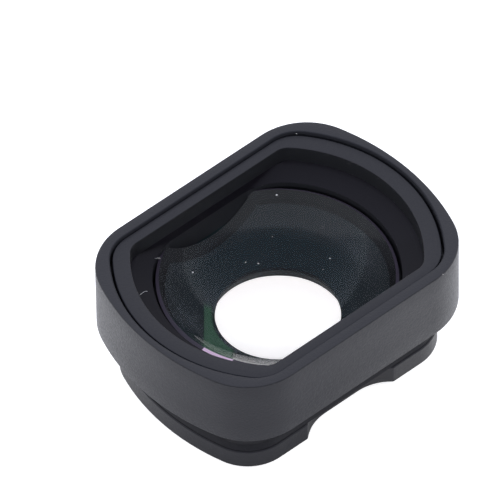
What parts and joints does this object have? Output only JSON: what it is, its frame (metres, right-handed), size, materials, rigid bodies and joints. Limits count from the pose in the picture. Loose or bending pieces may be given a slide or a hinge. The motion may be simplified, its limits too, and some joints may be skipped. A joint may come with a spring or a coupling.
{
  "type": "clip-on macro lens",
  "caption": "Black double-D conversion lens for a small gimbal camera, with a hollow front glass in a ringed hood and a flat flange with a scallop in each straight side.",
  "frame": {"origin": "on the optical axis, in the flat rear face of the mount plate", "axes": "+X along the long axis between the bowed ends, +Y across the straight sides, +Z along the optical axis towards the hollow front glass"},
  "size_m": [0.032, 0.0242, 0.0134],
  "materials": {
    "anodised_body": "fine bead-blasted black anodised aluminium",
    "anodised_ring": "black anodised aluminium, satin",
    "anodised_plate": "black anodised aluminium, satin",
    "cell_black": "matt black, against stray light",
    "coated_glass": "polished, green and magenta anti-reflection coat",
    "rear_glass": "polished, coated",
    "screw_steel": "black oxide steel",
    "magnet_nickel": "bright nickel plate"
  },
  "bodies": {
    "root": {"housing": "anodised_body", "front_ring": "anodised_ring", "lens_cell": "cell_black", "front_lens": "coated_glass", "spacer_ring": "cell_black", "rear_crown_lens": "rear_glass", "rear_flint_lens": "rear_glass", "lens_retainer": "anodised_ring", "mount_plate": "anodised_plate", "plate_screws": "screw_steel", "end_magnet_right_upper": "magnet_nickel", "corner_magnet_right_upper": "magnet_nickel", "end_magnet_right_lower": "magnet_nickel", "corner_magnet_right_lower": "magnet_nickel", "end_magnet_left_upper": "magnet_nickel", "corner_magnet_left_upper": "magnet_nickel", "end_magnet_left_lower": "magnet_nickel", "corner_magnet_left_lower": "magnet_nickel"}
  },
  "joints": []
}
